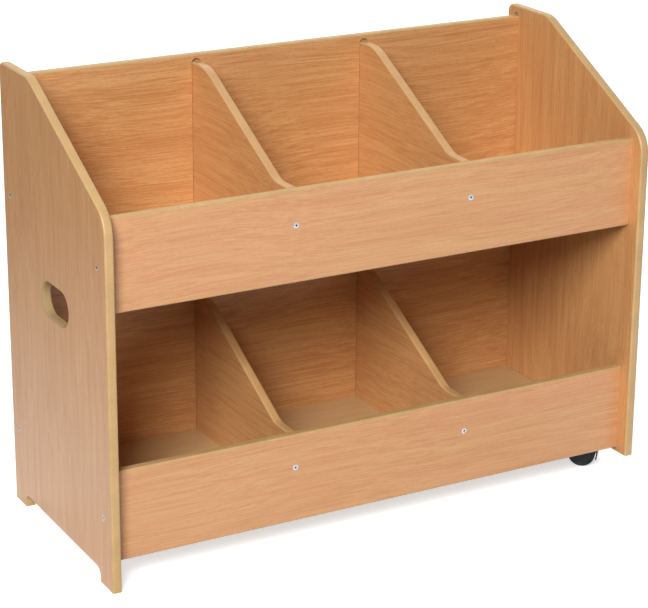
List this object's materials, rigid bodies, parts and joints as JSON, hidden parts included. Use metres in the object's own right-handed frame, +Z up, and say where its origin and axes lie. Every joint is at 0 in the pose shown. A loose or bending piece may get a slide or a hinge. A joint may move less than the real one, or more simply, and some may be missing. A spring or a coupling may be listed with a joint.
{
  "type": "kids bookcase",
  "caption": "Low two-tier bookcase for children with open divided bins, sloping end panels, a hand slot and feet at one end and swivel castors at the other.",
  "frame": {"origin": "on the floor under the middle of the bookcase", "axes": "+X along the width towards the castor end, +Y from the front to the back, +Z up"},
  "size_m": [0.95, 0.394, 0.73],
  "materials": {
    "beech_board": "satin beech foil",
    "zinc_screw": "bright zinc",
    "castor_steel": "zinc plated",
    "castor_nylon": "satin black"
  },
  "bodies": {
    "carcass": {"left_end_panel": "beech_board", "right_end_panel": "beech_board", "back_panel": "beech_board", "base_panel": "beech_board", "upper_shelf": "beech_board", "lower_front_rail": "beech_board", "upper_front_rail": "beech_board", "lower_divider_left": "beech_board", "lower_divider_right": "beech_board", "upper_divider_left": "beech_board", "upper_divider_right": "beech_board", "lower_rail_screw_left": "zinc_screw", "lower_back_screw_left": "zinc_screw", "left_panel_lower_front_screw": "zinc_screw", "left_panel_lower_rear_screw": "zinc_screw", "lower_rail_screw_right": "zinc_screw", "lower_back_screw_right": "zinc_screw", "right_panel_lower_front_screw": "zinc_screw", "right_panel_lower_rear_screw": "zinc_screw", "upper_rail_screw_left": "zinc_screw", "upper_back_screw_left": "zinc_screw", "left_panel_upper_front_screw": "zinc_screw", "left_panel_upper_rear_screw": "zinc_screw", "upper_rail_screw_right": "zinc_screw", "upper_back_screw_right": "zinc_screw", "right_panel_upper_front_screw": "zinc_screw", "right_panel_upper_rear_screw": "zinc_screw", "front_castor_plate": "castor_steel", "rear_castor_plate": "castor_steel", "front_castor_plate_screw_1": "zinc_screw", "front_castor_plate_screw_2": "zinc_screw", "front_castor_plate_screw_3": "zinc_screw", "front_castor_plate_screw_4": "zinc_screw", "rear_castor_plate_screw_1": "zinc_screw", "rear_castor_plate_screw_2": "zinc_screw", "rear_castor_plate_screw_3": "zinc_screw", "rear_castor_plate_screw_4": "zinc_screw", "front_castor_kingpin": "castor_steel", "rear_castor_kingpin": "castor_steel", "front_castor_swivel_ring": "castor_nylon", "rear_castor_swivel_ring": "castor_nylon"},
    "front_swivel": {"front_castor_hood": "castor_nylon", "front_castor_axle": "castor_steel"},
    "front_near_wheel": {"front_castor_near_wheel": "castor_nylon"},
    "front_far_wheel": {"front_castor_far_wheel": "castor_nylon"},
    "rear_swivel": {"rear_castor_hood": "castor_nylon", "rear_castor_axle": "castor_steel"},
    "rear_near_wheel": {"rear_castor_near_wheel": "castor_nylon"},
    "rear_far_wheel": {"rear_castor_far_wheel": "castor_nylon"}
  },
  "joints": [
    {"name": "front_swivel_turn", "type": "hinge", "parent": "carcass", "child": "front_swivel", "pos_m": [0.413, -0.1155, 0.04], "axis": [0, 0, 1], "continuous": true},
    {"name": "front_near_wheel_spin", "type": "hinge", "parent": "front_swivel", "child": "front_near_wheel", "pos_m": [0.42415, -0.12554, 0.023], "axis": [0.6691, 0.7431, 0], "continuous": true},
    {"name": "front_far_wheel_spin", "type": "hinge", "parent": "front_swivel", "child": "front_far_wheel", "pos_m": [0.42415, -0.12554, 0.023], "axis": [0.6691, 0.7431, 0], "continuous": true},
    {"name": "rear_swivel_turn", "type": "hinge", "parent": "carcass", "child": "rear_swivel", "pos_m": [0.413, 0.1155, 0.04], "axis": [0, 0, 1], "continuous": true},
    {"name": "rear_near_wheel_spin", "type": "hinge", "parent": "rear_swivel", "child": "rear_near_wheel", "pos_m": [0.42415, 0.10546, 0.023], "axis": [0.6691, 0.7431, 0], "continuous": true},
    {"name": "rear_far_wheel_spin", "type": "hinge", "parent": "rear_swivel", "child": "rear_far_wheel", "pos_m": [0.42415, 0.10546, 0.023], "axis": [0.6691, 0.7431, 0], "continuous": true}
  ]
}
